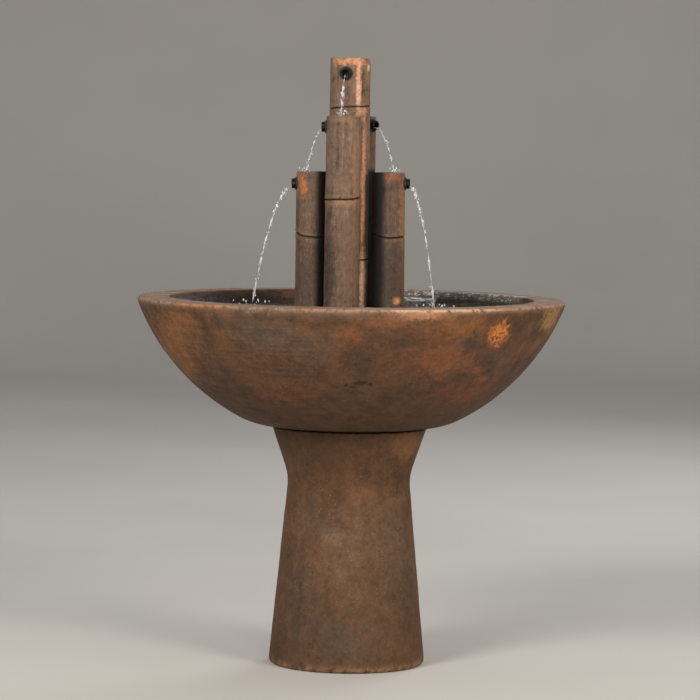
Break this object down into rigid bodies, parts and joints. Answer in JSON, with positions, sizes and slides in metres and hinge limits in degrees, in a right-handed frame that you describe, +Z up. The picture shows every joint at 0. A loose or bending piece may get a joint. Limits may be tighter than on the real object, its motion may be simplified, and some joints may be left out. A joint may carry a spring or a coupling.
{
  "type": "basin fountain",
  "caption": "Cast-stone basin on a flared pedestal with a cluster of cast bamboo stems whose spouts run water into the bowl, and a submersible pump under them",
  "frame": {"origin": "middle of the pedestal's foot, on the ground", "axes": "+Z up, front towards -Y, +X to the viewer's right"},
  "size_m": [0.7619, 0.762, 1.079],
  "materials": {
    "cast_stone": "cast concrete with a rubbed brown and grey-green patina",
    "stem_stone": "cast concrete bamboo, streaked grey-brown patina",
    "black_rubber": "soft black rubber, slightly dusty",
    "spout_plastic": "wet black plastic",
    "grey_pipe": "moulded grey pipe plastic",
    "clear_tube": "milky clear vinyl tube",
    "pump_plastic": "fine-textured black moulding",
    "knob_plastic": "blue moulding",
    "impeller_plastic": "white moulding",
    "ferrite": "sintered ferrite",
    "white_ceramic": "ground white ceramic",
    "core_steel": "stacked laminations",
    "coil_resin": "varnished copper winding"
  },
  "bodies": {
    "stand": {"pedestal": "cast_stone", "setting_pads": "black_rubber"},
    "bowl": {"basin": "cast_stone", "pump_body": "pump_plastic", "pump_end_plate": "pump_plastic", "cord_gland": "black_rubber", "stator_core": "core_steel", "stator_coil": "coil_resin", "impeller_shaft": "white_ceramic", "shaft_bushes": "black_rubber", "cover_gasket": "black_rubber", "impeller_cover": "pump_plastic", "hose_adapter": "pump_plastic", "suction_cups": "black_rubber"},
    "cluster": {"plinth": "cast_stone", "manifold": "grey_pipe", "supply_hose": "clear_tube", "tall_stem": "stem_stone", "tall_spout": "spout_plastic", "tall_ring": "black_rubber", "tall_elbow": "grey_pipe", "tall_riser": "clear_tube", "front_stem": "stem_stone", "front_spout": "spout_plastic", "front_ring": "black_rubber", "front_elbow": "grey_pipe", "front_riser": "clear_tube", "rear_stem": "stem_stone", "rear_spout": "spout_plastic", "rear_ring": "black_rubber", "rear_elbow": "grey_pipe", "rear_riser": "clear_tube", "left_stem": "stem_stone", "left_spout": "spout_plastic", "left_ring": "black_rubber", "left_elbow": "grey_pipe", "left_riser": "clear_tube", "right_stem": "stem_stone", "right_spout": "spout_plastic", "right_ring": "black_rubber", "right_elbow": "grey_pipe", "right_riser": "clear_tube"},
    "stopper": {"cord_stopper": "black_rubber"},
    "strainer": {"intake_cover": "pump_plastic"},
    "knob": {"flow_knob": "knob_plastic"},
    "rotor": {"rotor_magnet": "ferrite", "impeller": "impeller_plastic"}
  },
  "joints": [
    {"name": "bowl_lift", "type": "slide", "parent": "stand", "child": "bowl", "axis": [0, 0, 1], "range_m": [0, 0.08]},
    {"name": "cluster_lift", "type": "slide", "parent": "bowl", "child": "cluster", "axis": [0, 0, 1], "range_m": [0, 0.2]},
    {"name": "stopper_pull", "type": "slide", "parent": "bowl", "child": "stopper", "axis": [0, 0, 1], "range_m": [0, 0.04]},
    {"name": "cover_pull", "type": "slide", "parent": "bowl", "child": "strainer", "axis": [1, 0, 0], "range_m": [0, 0.018]},
    {"name": "flow_turn", "type": "hinge", "parent": "strainer", "child": "knob", "pos_m": [0.0346, 0.05645, 0.503], "axis": [1, 0, 0], "range_deg": [0, 90]},
    {"name": "rotor_spin", "type": "hinge", "parent": "bowl", "child": "rotor", "pos_m": [0.0046, 0.05645, 0.503], "axis": [1, 0, 0], "continuous": true}
  ]
}
